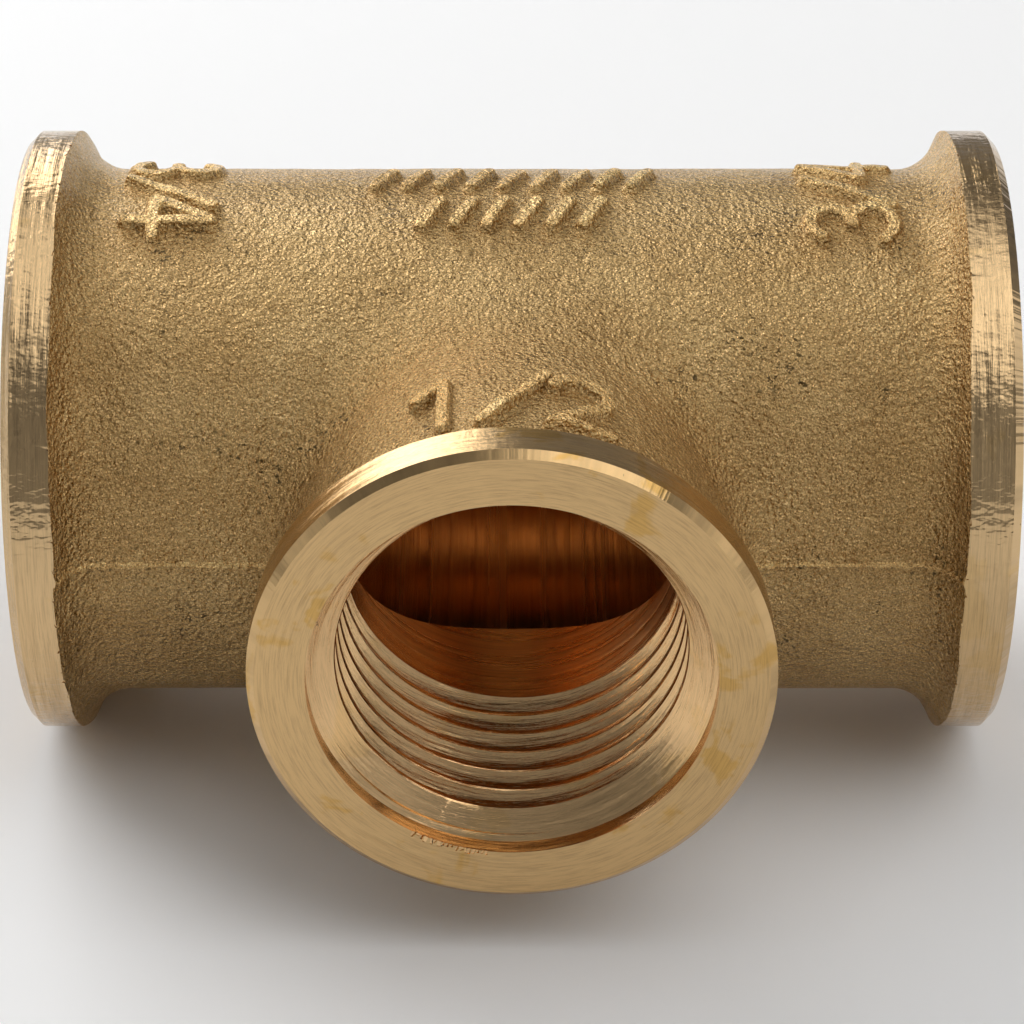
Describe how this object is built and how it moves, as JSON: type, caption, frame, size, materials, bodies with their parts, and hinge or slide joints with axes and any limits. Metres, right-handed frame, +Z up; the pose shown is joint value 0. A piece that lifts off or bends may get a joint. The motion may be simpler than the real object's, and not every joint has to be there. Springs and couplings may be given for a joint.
{
  "type": "pipe tee fitting",
  "caption": "Forged brass reducing tee with 3/4 inch female threaded run ends and a smaller 1/2 inch female threaded branch.",
  "frame": {"origin": "where the axis of the run and the axis of the branch cross", "axes": "+X along the run out of the right port, -Y along the branch out of its port, +Z up, square to both axes"},
  "size_m": [0.055, 0.0443, 0.0346],
  "materials": {
    "forged_brass": "shot-blasted as forged, with bright machined collars and sockets"
  },
  "bodies": {
    "root": {"tee_body": "forged_brass"}
  },
  "joints": []
}
